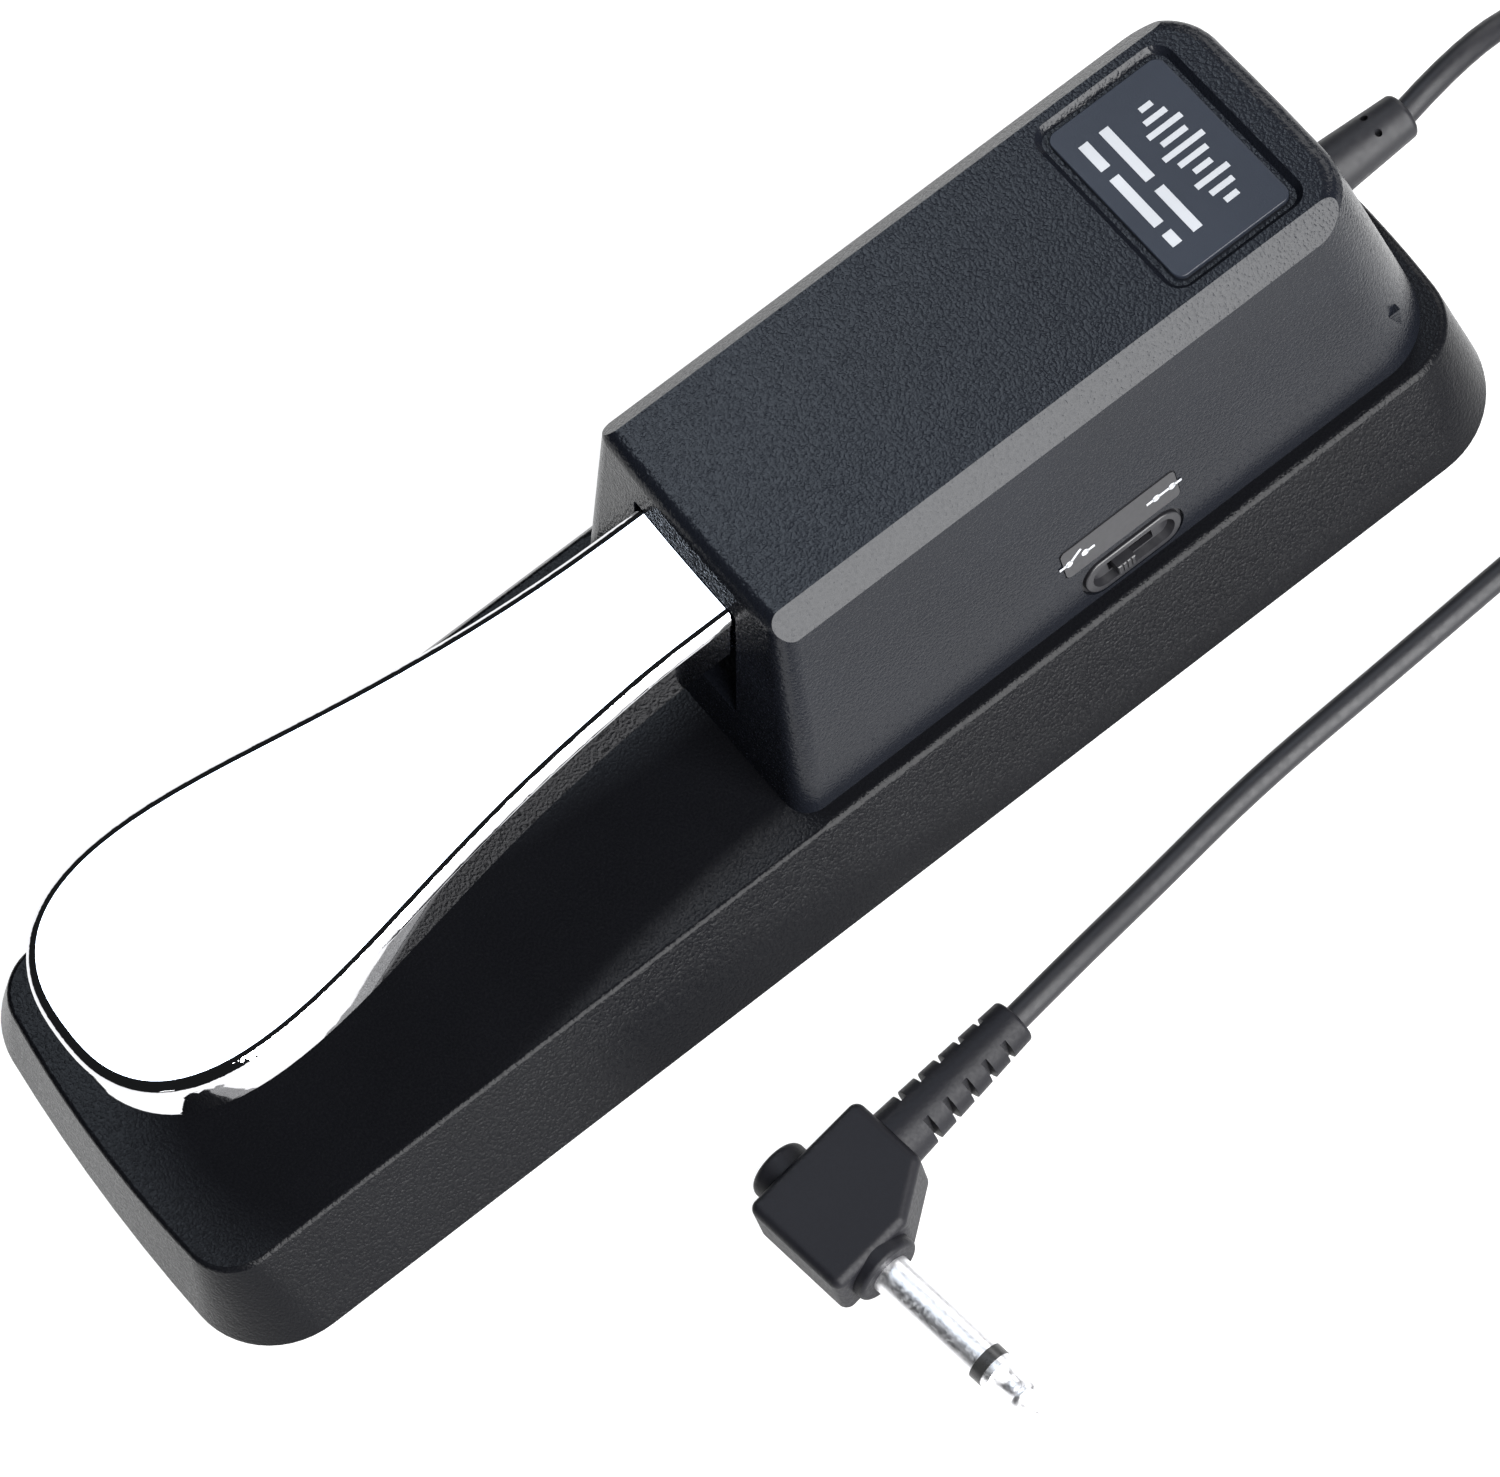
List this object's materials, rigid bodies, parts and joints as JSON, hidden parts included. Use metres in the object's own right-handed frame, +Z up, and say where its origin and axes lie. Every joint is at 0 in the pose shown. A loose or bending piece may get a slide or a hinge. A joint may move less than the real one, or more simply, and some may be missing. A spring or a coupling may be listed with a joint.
{
  "type": "sustain pedal",
  "caption": "Piano-style sustain pedal: chrome toe lever hinged in a drafted housing on a long base, with a side polarity switch, lead and right-angle jack plug.",
  "frame": {"origin": "on the floor, under the middle of the base's length and width, where the rubber mat stands", "axes": "+Y from the toe end to the end where the lead leaves, +X to the side with the polarity switch, +Z up"},
  "size_m": [0.1592, 0.3456, 0.061],
  "materials": {
    "base_plastic": "fine textured moulded ABS, near black",
    "screw_steel": "black zinc-plated steel",
    "nylon": "natural nylon",
    "plate_steel": "black painted steel",
    "cord_vinyl": "satin black vinyl",
    "tie_vinyl": "black vinyl-covered tie",
    "sole_rubber": "soft matt rubber",
    "housing_plastic": "fine textured moulded ABS, near black",
    "label_face": "satin dark blue-grey printed film",
    "switch_plastic": "black phenolic switch case",
    "zinc_sheet": "zinc-plated pressed sheet",
    "tinned_brass": "tinned brass",
    "lever_chrome": "mirror-polished chrome plate on a zinc casting",
    "spring_steel": "oiled spring steel",
    "ground_steel": "ground steel rod",
    "plug_vinyl": "matt black moulded vinyl",
    "plug_ring": "black insulating ring",
    "plug_nickel": "polished nickel plate",
    "circuit_laminate": "green solder-masked glass laminate",
    "black_nylon": "black moulded nylon",
    "felt": "dense pressed felt",
    "switch_sticker": "satin dark grey film with white marks",
    "red_plastic": "red acetal",
    "wire_red": "red vinyl insulation",
    "wire_white": "white vinyl insulation",
    "wire_black": "black vinyl insulation"
  },
  "bodies": {
    "base": {"base_shell": "base_plastic", "board_screws": "screw_steel", "board_standoffs": "nylon", "bottom_plate": "plate_steel", "bracket_screws": "screw_steel", "cord_back": "cord_vinyl", "cord_coil": "cord_vinyl", "cord_out": "cord_vinyl", "cord_tie": "tie_vinyl", "down_stop_bumper": "sole_rubber", "housing_screws": "screw_steel", "housing_shell": "housing_plastic", "label_plate": "label_face", "microswitch_body": "switch_plastic", "microswitch_mount": "zinc_sheet", "microswitch_nuts": "screw_steel", "microswitch_screws": "screw_steel", "microswitch_terminals": "tinned_brass", "mount_screw": "screw_steel", "pivot_bracket": "zinc_sheet", "pivot_clips": "spring_steel", "pivot_pin": "ground_steel", "pivot_washers": "nylon", "plate_screws": "screw_steel", "plug_body": "plug_vinyl", "plug_boot": "plug_vinyl", "plug_cap": "plug_vinyl", "plug_insulator": "plug_ring", "plug_sleeve": "plug_nickel", "plug_tip": "plug_nickel", "polarity_board": "circuit_laminate", "rest_stop_felt": "felt", "return_spring": "spring_steel", "rubber_mat": "sole_rubber", "slide_switch_can": "zinc_sheet", "slide_switch_pins": "tinned_brass", "spring_seat": "black_nylon", "stop_block": "black_nylon", "strain_relief": "cord_vinyl", "switch_bezel": "black_nylon", "switch_label": "switch_sticker", "wire_contact_a": "wire_red", "wire_contact_b": "wire_white", "wire_cord_ground": "wire_black", "wire_cord_signal": "wire_red"},
    "pedal": {"pedal_lever": "lever_chrome"},
    "leaf": {"switch_leaf": "spring_steel"},
    "plunger": {"switch_plunger": "red_plastic"},
    "knob": {"polarity_knob": "black_nylon"}
  },
  "joints": [
    {"name": "pedal_hinge", "type": "hinge", "parent": "base", "child": "pedal", "pos_m": [0, 0.055, 0.041], "axis": [1, 0, 0], "range_deg": [0, 6], "stiffness_Nm_per_rad": 5.25, "springref_deg": -8.71, "deforming": ["return_spring"]},
    {"name": "leaf_hinge", "type": "hinge", "parent": "base", "child": "leaf", "pos_m": [0, 0.054, 0.037], "axis": [1, 0, 0], "range_deg": [0, 6.6]},
    {"name": "plunger_slide", "type": "slide", "parent": "base", "child": "plunger", "axis": [0, 0, -1], "range_m": [0, 0.0006]},
    {"name": "polarity_slide", "type": "slide", "parent": "base", "child": "knob", "axis": [0, 1, 0], "range_m": [0, 0.004]}
  ],
  "couplings": [
    {"joint": "leaf_hinge", "follows": "pedal_hinge", "ratio": 1.0667},
    {"joint": "plunger_slide", "follows": "pedal_hinge", "m_per_rad": 0.004267}
  ]
}
